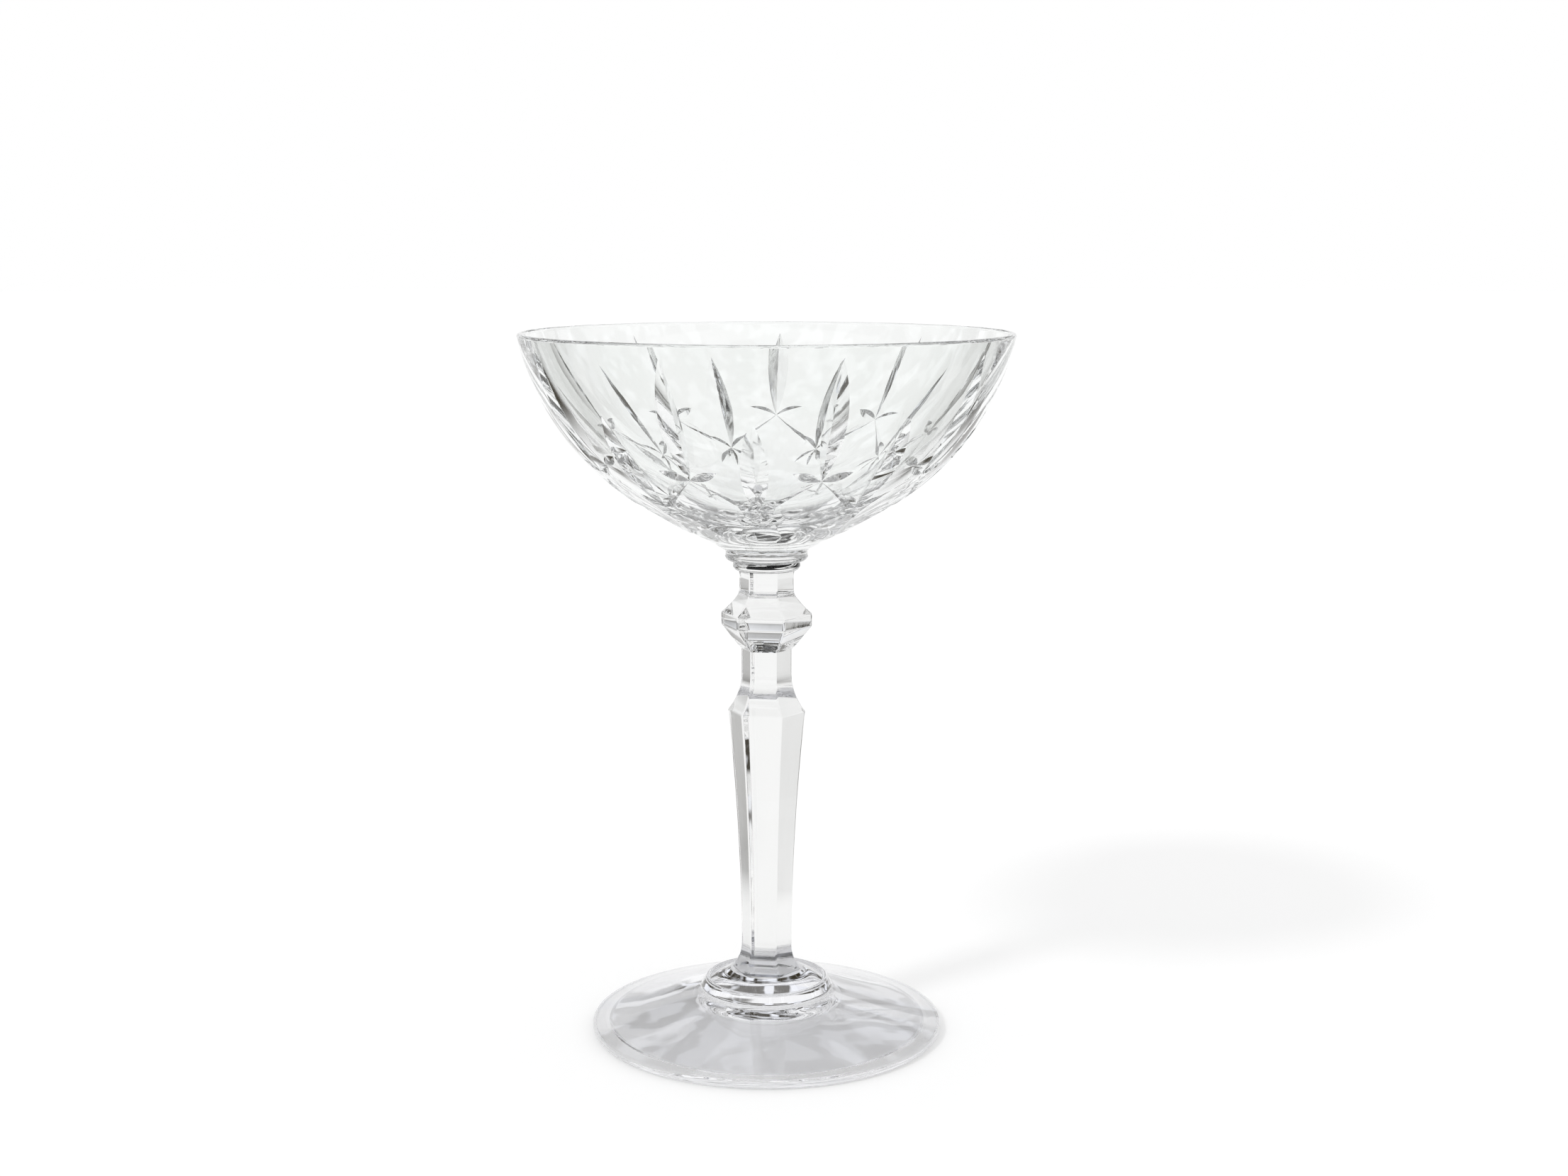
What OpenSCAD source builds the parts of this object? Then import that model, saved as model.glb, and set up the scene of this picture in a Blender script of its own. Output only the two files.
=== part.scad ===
// Cut crystal coupe glass on a six-sided baluster stem.
// The foot rests on z = 0, the axis of the glass is Z, and the front faces -Y.
// Angles round the axis are counted from the front, towards +X.

/* [Foot] */
// Diameter of the foot
foot_d = 80.4; // [64:0.2:96]
// Height of the seat that carries the pad
foot_h = 9; // [7:0.1:12]
// Radius of the rounded edge, half the edge's thickness
foot_edge_r = 1.4; // [1:0.1:1.8]
// Width of the ground ring that the glass stands on
foot_ring_w = 3.6; // [2:0.1:5]
// Glass left between the hollow underneath and the pad's seat
foot_seat_t = 4.6; // [3.4:0.1:5.6]
// Distance from the edge to the line where the edge's bevel starts
foot_bevel_w = 2.6; // [1.8:0.1:3.4]
// Height of that line
foot_bevel_h = 2.9; // [2.8:0.1:3.6]

/* [Foot pad] */
// Diameter of the pad at its waist
pad_d = 30.4; // [24:0.2:36]
// Height of the pad at the stem's seat
pad_h = 5; // [4.4:0.1:6]
// Height of the pad's raised ring
pad_ring_h = 3.3; // [3:0.1:3.6]
// Distance that the ring stands in from the waist
pad_ring_in = 1.1; // [0.8:0.1:1.5]
// Radius of the bead along the ring
pad_bead_r = 0.6; // [0.4:0.05:0.8]
// Height up to which the pad's side stands upright
pad_waist_h = 1.1; // [0.6:0.1:1.8]

/* [Stem] */
// Turn of the stem's six facets from the front
stem_turn = -8.4; // [-30:0.1:30]
// Diameter over the corners where the stem meets the pad
ankle_d = 15.8; // [14:0.2:18]
// Diameter over the corners at the top of the skirt
skirt_d = 12.6; // [12:0.2:13.6]
// Height of the skirt
skirt_h = 3; // [2:0.1:4]
// Height of the small hollow above the skirt
ankle_h = 2.7; // [1.8:0.1:4]
// Diameter over the corners at the narrow end of the long taper
taper_d = 11.7; // [10.4:0.1:12]
// Length of the long taper
taper_h = 55.1; // [40:0.5:75]
// How far the long taper's facets are hollowed
taper_hollow = 0.7; // [0:0.05:1]
// Diameter over the corners at the shoulder
shoulder_d = 17.9; // [15:0.1:20]
// Height of the curve from the shoulder up to the waist
shoulder_h = 8.7; // [6:0.1:12]
// Diameter over the corners at the waist under the knop
waist_d = 11.5; // [10:0.1:13]
// Length of the straight waist
waist_h = 5.4; // [3:0.1:9]
// Diameter over the corners at the foot of the knop
knop_foot_d = 13.4; // [13.1:0.1:15]
// Diameter over the corners of the knop's belt
knop_d = 20.9; // [18:0.1:24]
// Height from the waist to the foot of the knop
knop_foot_h = 0.9; // [0.5:0.1:1.5]
// Height of the knop's lower flank
knop_low_h = 4.6; // [3:0.1:6]
// Height of the knop's upright belt
knop_belt_h = 2.8; // [2:0.1:4]
// Height of the knop's upper flank
knop_top_h = 4.4; // [3:0.1:6]
// Diameter over the corners of the neck above the knop
neck_d = 12.8; // [11.4:0.1:13]
// Length of the neck
neck_h = 5.4; // [4:0.1:8]

/* [Bowl collar] */
// Diameter of the flat that the stem carries
collar_low_d = 13.5; // [13.3:0.1:16]
// Diameter of the flat that carries the bowl
collar_top_d = 18.4; // [17:0.1:19]
// Height of the lower ring
collar_low_h = 2.3; // [1.8:0.1:3]
// Height of the upper ring
collar_top_h = 2.5; // [1.8:0.1:3]
// Depth of the groove between the two rings
collar_groove = 0.35; // [0.2:0.05:0.6]

/* [Bowl] */
// Outside diameter of the rim
rim_d = 109.8; // [96:0.2:122]
// Height of the bowl from its seat to the rim
bowl_h = 48.2; // [43:0.1:54]
// Thickness of the rounded lip
lip_t = 1.3; // [1:0.1:1.7]
// Diameter of the flat under the bowl
bowl_seat_d = 19.4; // [19.2:0.1:23]
// Diameter where the short flare from the seat meets the base
base_d = 27; // [25:0.1:29]
// Height of that short flare
base_h = 2.3; // [1.8:0.1:2.8]
// Diameter where the base turns into the wall
hip_d = 67.7; // [63:0.1:72]
// Height of that turn above the seat
hip_h = 14.1; // [13.2:0.1:15]
// Steepness of the outside at that turn, in degrees
hip_slope = 37.9; // [36:0.1:40]
// Thickness of the glass at that turn
hip_t = 4; // [3.4:0.1:4.6]
// Thickness of the glass in the middle of the floor
floor_t = 7; // [6:0.1:8]

/* [Cut pattern] */
// Number of tall leaves round the bowl, with as many short leaves between them
leaf_count = 9; // [7:1:10]
// Turn of the first tall leaf from the front
leaf_turn = 16.5; // [-20:0.1:20]
// Distance from the rim to the tips of the tall leaves
tall_leaf_drop = 3; // [2.4:0.1:8]
// Height above the seat of the stars that the tall leaves grow from
tall_star_h = 19.3; // [17.5:0.1:21]
// Flank of the tall leaves' cut from its middle plane, in degrees
tall_leaf_flank = 53; // [45:1:58]
// Distance from the rim to the tips of the short leaves
short_leaf_drop = 15.5; // [12:0.1:18]
// Height above the seat of the stars that the short leaves grow from
short_star_h = 12.2; // [11:0.1:13.5]
// Flank of the short leaves' cut from its middle plane, in degrees
short_leaf_flank = 62; // [52:1:66]
// Flank of the cuts that join the stars, in degrees
arm_flank = 61; // [50:1:68]
// Length of the stars' petals
petal_l = 7.2; // [5:0.1:8]
// Depth of the stars' petals
petal_depth = 0.75; // [0.5:0.05:1]
// Flank of the petals' cut from its middle plane, in degrees
petal_flank = 56; // [48:1:62]
// Radius of the wheel that cuts the ovals
oval_wheel_r = 60; // [40:1:90]
// Depth of the upper ovals, below the tall leaves
upper_oval_depth = 1; // [0.6:0.05:1.3]
// Height above the seat of the upper ovals' middles
upper_oval_h = 11.4; // [10.6:0.1:12.4]
// Depth of the lower ovals, below the short leaves
lower_oval_depth = 0.5; // [0.3:0.05:0.6]
// Height above the seat of the lower ovals' middles
lower_oval_h = 6.8; // [6.6:0.1:7.4]

/* [Hidden] */

$fn = 144;

// How far a cutting shape runs past the glass
overrun = 3.5;
// Facets of the stem, and the share of a corner's radius that lies under a facet
stem_sides = 6;
flat_share = cos(180 / stem_sides);
// Points along a curved stretch of the stem's outline
curve_steps = 7;
long_curve_steps = 10;
// How far the short curves of the stem's outline are hollowed
ankle_hollow = 0.12;
knop_hollow = 0.4;
neck_hollow = 0.2;
// Width of the flat that is left round the stem's corners on the pad
seat_margin = 0.4;
// How far the bowl's inside runs under the bead of its lip
lip_tuck = 0.03;

// Heights of the seats, from the table up
pad_z = foot_h;
stem_z = pad_z + pad_h;
taper_z = stem_z + skirt_h + ankle_h;
shoulder_z = taper_z + taper_h;
waist_z = shoulder_z + shoulder_h;
knop_z = waist_z + waist_h;
belt_z = knop_z + knop_foot_h + knop_low_h;
neck_z = belt_z + knop_belt_h + knop_top_h;
collar_z = neck_z + neck_h;
bowl_z = collar_z + collar_low_h + collar_top_h;
rim_z = bowl_z + bowl_h;

// A point between a and b, at share t of the way
function between(a, b, t) = a + (b - a) * t;

function unit(v) = v / norm(v);

// Points of a shallow curve from p to q that is hollowed by sag towards the axis
function hollow(p, q, sag, steps) = [
    for (i = [0:steps])
        let (t = i / steps)
        [between(p.x, q.x, t) - sag * (1 - pow(2 * t - 1, 2)), between(p.y, q.y, t)]
];

// Points of a round curve that leaves q upright and swings out to p
function swing(p, q, steps) =
    let (
        out = p.x - q.x,
        up = q.y - p.y,
        r = (out * out + up * up) / (2 * out),
        sweep = asin(up / r)
    )
    [
        for (i = [0:steps])
            let (a = sweep * (1 - i / steps))
            [q.x + r * (1 - cos(a)), q.y - r * sin(a)]
    ];

// Radius of the arc that leaves p at a slope and ends at q, negative where it turns down
function arc_r(p, slope, q) =
    let (to = q - p)
    norm(to) / (2 * sin(atan2(to.y, to.x) - slope));

// Centre of the arc of radius r that passes p at a slope
function arc_centre(p, slope, r) = p + r * [-sin(slope), cos(slope)];

// The part of an outline on the right of the axis, from one height to another
module band(low, high, width) {
    intersection() {
        children();
        translate([0, low])
            square([width, high - low]);
    }
}

// Foot

foot_r = foot_d / 2;
edge_centre = [foot_r - foot_edge_r, foot_edge_r];
hollow_r = edge_centre.x - foot_ring_w;
hollow_z = foot_h - foot_seat_t;
pad_r = pad_d / 2;

module foot() {
    color([0.86, 0.88, 0.93])
        rotate_extrude()
            difference() {
                union() {
                    polygon([
                        [0, 0],
                        [edge_centre.x, 0],
                        [edge_centre.x, foot_edge_r],
                        edge_centre + foot_edge_r * [sin(45), cos(45)],
                        [foot_r - foot_bevel_w, foot_bevel_h],
                        [pad_r, foot_h],
                        [0, foot_h]
                    ]);
                    translate(edge_centre)
                        circle(r = foot_edge_r);
                }
                polygon([
                    [-overrun, -overrun],
                    [hollow_r, -overrun],
                    [hollow_r, 0],
                    [pad_r, hollow_z],
                    [-overrun, hollow_z]
                ]);
                translate([-foot_r, -overrun])
                    square([foot_r, foot_h + 2 * overrun]);
            }
}

// Foot pad

pad_ring_r = pad_r - pad_ring_in;
pad_bead_z = pad_z + pad_ring_h - pad_bead_r;
// The flat that carries the stem reaches a little past the stem's corners
pad_seat_r = ankle_d / 2 + seat_margin;

module foot_pad() {
    color([0.88, 0.9, 0.93])
        rotate_extrude()
            union() {
                polygon([
                    [0, pad_z],
                    [pad_r, pad_z],
                    [pad_r, pad_z + pad_waist_h],
                    [pad_ring_r, pad_bead_z],
                    [pad_ring_r - 2 * pad_bead_r, pad_bead_z],
                    [pad_seat_r, pad_z + pad_h],
                    [0, pad_z + pad_h]
                ]);
                translate([pad_ring_r - pad_bead_r, pad_bead_z])
                    circle(r = pad_bead_r);
            }
}

// Stem

// Outline of the stem as [radius over a corner, height], from the pad to the collar
stem_outline = concat(
    [[ankle_d / 2, stem_z]],
    hollow([skirt_d / 2, stem_z + skirt_h], [taper_d / 2, taper_z], ankle_hollow, curve_steps),
    hollow([taper_d / 2, taper_z], [shoulder_d / 2, shoulder_z], taper_hollow, long_curve_steps),
    swing([shoulder_d / 2, shoulder_z], [waist_d / 2, waist_z], curve_steps),
    [
        [waist_d / 2, knop_z],
        [knop_foot_d / 2, knop_z + knop_foot_h],
        [knop_d / 2, belt_z],
        [knop_d / 2, belt_z + knop_belt_h]
    ],
    hollow([knop_d / 2, belt_z + knop_belt_h], [neck_d / 2, neck_z], knop_hollow, curve_steps),
    hollow([neck_d / 2, neck_z], [neck_d / 2, collar_z], neck_hollow, curve_steps)
);

// A slab whose two faces are opposite facets of the stem, over its whole height
module facet_pair() {
    right = [for (p = stem_outline) [p.x * flat_share, p.y]];
    left = [for (i = [len(right) - 1:-1:0]) [-right[i].x, right[i].y]];
    rotate([90, 0, 0])
        linear_extrude(height = 2 * knop_d, center = true)
            polygon(concat(right, left));
}

module stem() {
    color([0.9, 0.9, 0.9])
        rotate([0, 0, stem_turn - 90])
            intersection_for(i = [1:stem_sides / 2])
                rotate([0, 0, i * 360 / stem_sides])
                    facet_pair();
}

// Bowl collar

collar_low_r = collar_low_d / 2;
collar_top_r = collar_top_d / 2;
// The lower ring swells a third of the way from the stem's flat to the bowl's flat
collar_mid_r = between(collar_low_r, collar_top_r, 1 / 3);
low_ring_z = collar_z + collar_low_h / 2;
top_ring_z = collar_z + collar_low_h + collar_top_h / 2;

module bowl_collar() {
    color([0.87, 0.89, 0.89])
        rotate_extrude()
            band(collar_z, bowl_z, collar_top_d) {
                union() {
                    polygon([
                        [0, collar_z],
                        [collar_low_r, collar_z],
                        [collar_mid_r, low_ring_z],
                        [collar_mid_r - collar_groove, collar_z + collar_low_h],
                        [collar_top_r - collar_groove, top_ring_z],
                        [collar_top_r, bowl_z],
                        [0, bowl_z]
                    ]);
                    translate([collar_mid_r - collar_low_h / 2, low_ring_z])
                        circle(d = collar_low_h);
                    translate([collar_top_r - collar_top_h / 2, top_ring_z])
                        circle(d = collar_top_h);
                }
            }
}

// Bowl

// The outside is a base arc and a wall arc that meet at the hip at one slope
hip = [hip_d / 2, bowl_z + hip_h];
lip_z = rim_z - lip_t / 2;
lip_out = [rim_d / 2, lip_z];
base_edge = [base_d / 2, bowl_z + base_h];
wall_r = arc_r(hip, hip_slope, lip_out);
wall_centre = arc_centre(hip, hip_slope, wall_r);
base_r = arc_r(hip, hip_slope, base_edge);
base_centre = arc_centre(hip, hip_slope, base_r);

// The inside is a dished floor and a wall arc that meet without an edge
floor_z = bowl_z + floor_t;
hip_in = hip + hip_t * [-sin(hip_slope), cos(hip_slope)];
lip_in = lip_out - [lip_t - lip_tuck, 0];
floor_up = hip_in.y - floor_z;
floor_r = (hip_in.x * hip_in.x + floor_up * floor_up) / (2 * floor_up);
floor_slope = asin(hip_in.x / floor_r);
inner_r = arc_r(hip_in, floor_slope, lip_in);
inner_centre = arc_centre(hip_in, floor_slope, inner_r);

// Centre, radius and outside radius of the bowl's outline at height z
function side_centre(z) = z > hip.y ? wall_centre : base_centre;
function side_r(z) = z > hip.y ? wall_r : base_r;
function out_r(z) =
    let (c = side_centre(z))
    c.x + sqrt(pow(side_r(z), 2) - pow(z - c.y, 2));

// A flat vector turned to angle a round the axis
function round_to(v, a) = [v.x * sin(a), -v.x * cos(a), v.y];

// Point of the bowl's outside, the outward direction there, and the upward one along it
function on_bowl(a, z) = round_to([out_r(z), z], a);
function outward(a, z) = round_to(([out_r(z), z] - side_centre(z)) / side_r(z), a);
function sideways(a) = [cos(a), sin(a), 0];
function upward(a, z) = cross(outward(a, z), sideways(a));

// The point at a distance from a place on the bowl, in a direction counted from upward
// towards the right, brought back to the bowl's outside
function step_to(a, z, turn, distance) =
    let (
        p = on_bowl(a, z) + distance * (cos(turn) * upward(a, z) + sin(turn) * sideways(a)),
        at = atan2(p.x, -p.y)
    )
    on_bowl(at, p.z);

// Sets its children with their Z along the unit vector along and their Y along out
module aim(origin, along, out) {
    side = cross(out, along);
    translate(origin)
        rotate([atan2(out.z, along.z), -asin(side.z), atan2(side.y, side.x)])
            children();
}

// A straight mitre groove whose keel runs from p to q and past both
module groove(p, q, out, flank, past = overrun) {
    along = unit(q - p);
    square_out = unit(out - (out * along) * along);
    open = overrun * tan(flank);
    aim(p - past * along, along, square_out)
        linear_extrude(height = norm(q - p) + 2 * past)
            polygon([[0, 0], [open, overrun], [-open, overrun]]);
}

// A pointed petal from p to q, whose keel dips to a depth in the middle
module petal(p, q, out, depth, flank) {
    middle = between(p, q, 0.5) - depth * out;
    intersection() {
        groove(p, middle, out, flank);
        groove(middle, q, out, flank);
    }
}

// A shallow oval, hollowed across by a wide wheel that runs up the bowl
module oval(a, z, depth) {
    out = outward(a, z);
    aim(on_bowl(a, z) + (oval_wheel_r - depth) * out, upward(a, z), out)
        cylinder(r = oval_wheel_r, h = hip_d, center = true);
}

// A star's petals, each from the star's middle outwards
module star(a, z, turns) {
    for (turn = turns)
        petal(on_bowl(a, z), step_to(a, z, turn, petal_l), outward(a, z), petal_depth, petal_flank);
}

leaf_pitch = 360 / leaf_count;
tall_star_z = bowl_z + tall_star_h;
short_star_z = bowl_z + short_star_h;
// Directions of the petals from the middle of their star, counted from upward
tall_star_turns = [-68, 68];
short_star_turns = [-48, 48, -142, 142, 180];

// Angle of the tall leaf number i, and of the short leaf that follows it
function tall_a(i) = leaf_turn + i * leaf_pitch;
function short_a(i) = tall_a(i + 0.5);

module bowl_blank() {
    rotate_extrude()
        union() {
            difference() {
                union() {
                    polygon([
                        [0, bowl_z],
                        [bowl_seat_d / 2, bowl_z],
                        base_edge,
                        [0, base_edge.y]
                    ]);
                    band(base_edge.y, hip.y, rim_d)
                        translate(base_centre)
                            circle(r = base_r);
                    band(hip.y, lip_z, rim_d)
                        translate(wall_centre)
                            circle(r = wall_r);
                }
                band(bowl_z, hip_in.y, rim_d)
                    translate([0, floor_z + floor_r])
                        circle(r = floor_r);
                band(hip_in.y, rim_z + overrun, rim_d)
                    translate(inner_centre)
                        circle(r = inner_r);
            }
            translate(lip_out - [lip_t / 2, 0])
                circle(d = lip_t);
        }
}

// The blank with its first ovals cut, an upper and a lower one for each pitch
module bowl_with_ovals(pitches = leaf_count) {
    if (pitches == 0)
        bowl_blank();
    else
        difference() {
            difference() {
                bowl_with_ovals(pitches - 1);
                oval(tall_a(pitches), bowl_z + upper_oval_h, upper_oval_depth);
            }
            oval(short_a(pitches), bowl_z + lower_oval_h, lower_oval_depth);
        }
}

module bowl_with_leaves() {
    difference() {
        bowl_with_ovals();
        for (i = [1:leaf_count]) {
            a = tall_a(i);
            foot = on_bowl(a, tall_star_z);
            tip = on_bowl(a, rim_z - tall_leaf_drop);
            groove(foot, tip, outward(a, tall_star_z), tall_leaf_flank);
        }
        for (i = [1:leaf_count]) {
            a = short_a(i);
            foot = on_bowl(a, short_star_z);
            tip = on_bowl(a, rim_z - short_leaf_drop);
            groove(foot, tip, outward(a, short_star_z), short_leaf_flank);
        }
    }
}

// The arms are grooves that join each tall leaf's star to the short leaves' stars beside it
module bowl_with_arms() {
    arm_z = between(short_star_z, tall_star_z, 0.5);
    difference() {
        bowl_with_leaves();
        for (i = [1:leaf_count], side = [-0.5, 0.5]) {
            low = on_bowl(tall_a(i + side), short_star_z);
            high = on_bowl(tall_a(i), tall_star_z);
            groove(low, high, outward(tall_a(i + side / 2), arm_z), arm_flank, 0);
        }
    }
}

module bowl() {
    color([0.88, 0.91, 0.9])
        difference() {
            bowl_with_arms();
            for (i = [1:leaf_count]) {
                star(tall_a(i), tall_star_z, tall_star_turns);
                star(short_a(i), short_star_z, short_star_turns);
            }
        }
}

foot();
foot_pad();
stem();
bowl_collar();
bowl();
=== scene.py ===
"""Cut crystal coupe glass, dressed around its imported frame.

Every size is in metres and every angle in radians. The foot rests on z = 0, the axis of the
glass is Z, and the front faces -Y. Angles round the axis are counted from the front, towards +X.
"""
import logging
import math
from dataclasses import dataclass, field
from enum import Enum
from typing import Callable, Iterable, Sequence

import bpy
from mathutils import Matrix, Vector


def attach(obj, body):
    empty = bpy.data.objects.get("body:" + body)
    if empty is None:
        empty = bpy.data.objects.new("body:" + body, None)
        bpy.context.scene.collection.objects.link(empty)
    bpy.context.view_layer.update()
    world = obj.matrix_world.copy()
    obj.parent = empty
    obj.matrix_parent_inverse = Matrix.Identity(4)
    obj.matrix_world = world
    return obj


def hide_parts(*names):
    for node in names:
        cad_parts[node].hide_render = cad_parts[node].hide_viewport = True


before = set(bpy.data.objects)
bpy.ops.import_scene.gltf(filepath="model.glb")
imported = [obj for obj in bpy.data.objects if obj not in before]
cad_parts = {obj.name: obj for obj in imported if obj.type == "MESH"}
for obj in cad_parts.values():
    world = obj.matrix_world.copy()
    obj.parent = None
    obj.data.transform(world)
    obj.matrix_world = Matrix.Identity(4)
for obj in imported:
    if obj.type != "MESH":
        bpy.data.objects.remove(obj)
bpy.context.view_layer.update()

LOG = logging.getLogger("coupe_glass")
MM = 0.001
FULL_TURN = 2 * math.pi
AXIS_UP = Vector((0, 0, 1))
WELD = 0.001 * MM

Point = tuple[float, float]
Colour = tuple[float, float, float]

WHITE: Colour = (1, 1, 1)


class Slot(Enum):
    """Material slots of the record that the pieces take their finish from."""

    BOWL = "bowl_crystal"
    STEM = "stem_crystal"
    FOOT = "foot_crystal"


class FaceKind(Enum):
    """Places of a crystal piece's materials in its list of materials."""

    POLISHED = 0
    SEAM = 1
    CUT = 2


def rgba(colour: Colour) -> tuple[float, float, float, float]:
    """The colour with full alpha, as Blender's sockets take it."""
    return (*colour, 1.0)


class Outline:
    """The right half of a turned piece: [radius, height] points from the axis back to the axis."""

    def __init__(self, radius: float, height: float) -> None:
        """Starts the outline.

        Args:
            radius: distance of the first point from the axis.
            height: height of the first point.
        """
        self.points: list[Point] = [(radius, height)]

    def line_to(self, radius: float, height: float, steps: int = 1) -> "Outline":
        """Draws a straight stretch.

        Args:
            radius: distance of its end from the axis.
            height: height of its end.
            steps: number of equal pieces that it is drawn in.

        Returns:
            The outline, so that stretches can be chained.
        """
        r0, z0 = self.points[-1]
        for i in range(1, steps + 1):
            share = i / steps
            self.points.append((r0 + (radius - r0) * share, z0 + (height - z0) * share))
        return self

    def arc_to(self, centre: Point, end: Point, steps: int, clockwise: bool = False) -> "Outline":
        """Draws a round stretch about a centre, from the last point to a new one.

        Args:
            centre: middle of the arc.
            end: last point of the arc.
            steps: number of equal pieces that it is drawn in.
            clockwise: whether the arc turns clockwise, seen with the radius to the right.

        Returns:
            The outline, so that stretches can be chained.
        """
        r0, z0 = self.points[-1]
        start = math.atan2(z0 - centre[1], r0 - centre[0])
        turn = (math.atan2(end[1] - centre[1], end[0] - centre[0]) - start) % FULL_TURN
        if clockwise:
            turn -= FULL_TURN
        size = math.hypot(r0 - centre[0], z0 - centre[1])
        for i in range(1, steps):
            at = start + turn * i / steps
            self.points.append((centre[0] + size * math.cos(at), centre[1] + size * math.sin(at)))
        self.points.append(end)
        return self

    def soften(self, corner: Point, radius: float, steps: int) -> "Outline":
        """Rounds one corner of the outline with points on a small curve.

        Args:
            corner: the corner's point, as it was drawn.
            radius: distance from the corner at which the curve starts and ends.
            steps: number of pieces of the curve.

        Returns:
            The outline.
        """
        at = min(range(len(self.points)), key=lambda i: math.dist(self.points[i], corner))
        middle = Vector(self.points[at])
        before = middle + (Vector(self.points[at - 1]) - middle).normalized() * radius
        after = middle + (Vector(self.points[at + 1]) - middle).normalized() * radius
        curve = []
        for i in range(steps + 1):
            t = i / steps
            bend = before * (1 - t) ** 2 + middle * (2 * t * (1 - t)) + after * t**2
            curve.append((bend.x, bend.y))
        self.points[at:at + 1] = curve
        return self


class Bench:
    """The tools that shape a piece: each leaves the piece selected and in object mode."""

    @staticmethod
    def clear() -> None:
        """Deselects every object."""
        if bpy.context.object and bpy.context.object.mode != "OBJECT":
            bpy.ops.object.mode_set(mode="OBJECT")
        bpy.ops.object.select_all(action="DESELECT")

    @staticmethod
    def pick(piece: bpy.types.Object) -> None:
        """Makes a piece the only selected object."""
        Bench.clear()
        piece.select_set(True)
        bpy.context.view_layer.objects.active = piece

    @staticmethod
    def select_faces(
        piece: bpy.types.Object, wanted: Callable[[bpy.types.MeshPolygon], bool]
    ) -> int:
        """Selects the faces that a test picks, and nothing else.

        Args:
            piece: the piece, in object mode.
            wanted: says of a face whether it is picked.

        Returns:
            The number of faces selected.
        """
        mesh = piece.data
        for part in (mesh.vertices, mesh.edges, mesh.polygons):
            part.foreach_set("select", [False] * len(part))
        chosen = [face for face in mesh.polygons if wanted(face)]
        for face in chosen:
            face.select = True
        return len(chosen)

    @staticmethod
    def draw(name: str, points: Sequence[Point]) -> bpy.types.Object:
        """Draws an outline in the XZ plane by extruding a vertex along it.

        Args:
            name: the new piece's name.
            points: the outline's points.

        Returns:
            The new piece, still in edit mode with all of it selected.
        """
        Bench.clear()
        radius, height = points[0]
        bpy.ops.mesh.primitive_plane_add(size=MM, location=(0, 0, 0))
        piece = bpy.context.object
        piece.name = name
        piece.data.name = name
        bpy.ops.object.mode_set(mode="EDIT")
        bpy.ops.mesh.select_mode(type="VERT")
        bpy.ops.mesh.select_all(action="SELECT")
        bpy.ops.mesh.merge(type="CENTER")
        bpy.ops.transform.translate(value=(radius, 0, height))
        for (r0, z0), (r1, z1) in zip(points, points[1:]):
            bpy.ops.mesh.extrude_vertices_move(
                TRANSFORM_OT_translate={"value": (r1 - r0, 0, z1 - z0)}
            )
        bpy.ops.mesh.select_all(action="SELECT")
        return piece

    @staticmethod
    def turn(name: str, outline: Outline, steps: int) -> bpy.types.Object:
        """Turns an outline round the axis into a closed piece.

        Args:
            name: the new piece's name.
            outline: its outline, from the axis back to the axis.
            steps: number of faces round the axis.

        Returns:
            The new piece.
        """
        piece = Bench.draw(name, outline.points)
        bpy.ops.mesh.spin(steps=steps, angle=FULL_TURN, center=(0, 0, 0), axis=AXIS_UP)
        bpy.ops.mesh.select_all(action="SELECT")
        bpy.ops.mesh.remove_doubles(threshold=WELD)
        bpy.ops.mesh.dissolve_degenerate(threshold=WELD)
        bpy.ops.mesh.select_all(action="SELECT")
        bpy.ops.mesh.normals_make_consistent(inside=False)
        bpy.ops.object.mode_set(mode="OBJECT")
        return piece

    @staticmethod
    def place(piece: bpy.types.Object, at: Matrix) -> None:
        """Sets a piece down at a place and puts the place into its mesh."""
        Bench.pick(piece)
        piece.matrix_world = at
        bpy.ops.object.transform_apply(location=True, rotation=True, scale=True)

    @staticmethod
    def copies_round(piece: bpy.types.Object, count: int) -> list[bpy.types.Object]:
        """Copies a piece round the axis, each copy with its own mesh.

        Args:
            piece: the piece that repeats.
            count: number of places, the piece's own among them.

        Returns:
            The piece and its copies.
        """
        found = [piece]
        for i in range(1, count):
            Bench.pick(piece)
            bpy.ops.object.duplicate(linked=False)
            copy = bpy.context.object
            Bench.place(copy, Matrix.Rotation(FULL_TURN * i / count, 4, AXIS_UP))
            found.append(copy)
        return found

    @staticmethod
    def joined(blades: Sequence[bpy.types.Object]) -> bpy.types.Object:
        """Joins blades that don't meet, so that they cut together.

        Args:
            blades: the blades.

        Returns:
            One piece that holds them all.
        """
        Bench.pick(blades[0])
        for blade in blades[1:]:
            blade.select_set(True)
        bpy.ops.object.join()
        return blades[0]

    @staticmethod
    def cut(piece: bpy.types.Object, blade: bpy.types.Object) -> None:
        """Cuts a blade out of a piece and puts the blade away.

        Args:
            piece: the piece that is cut.
            blade: a closed solid, or some that don't meet.
        """
        Bench.pick(piece)
        change = piece.modifiers.new("cut", "BOOLEAN")
        change.operation = "DIFFERENCE"
        change.solver = "MANIFOLD"
        change.object = blade
        bpy.ops.object.modifier_apply(modifier=change.name)
        mesh = blade.data
        bpy.data.objects.remove(blade)
        bpy.data.meshes.remove(mesh)

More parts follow.
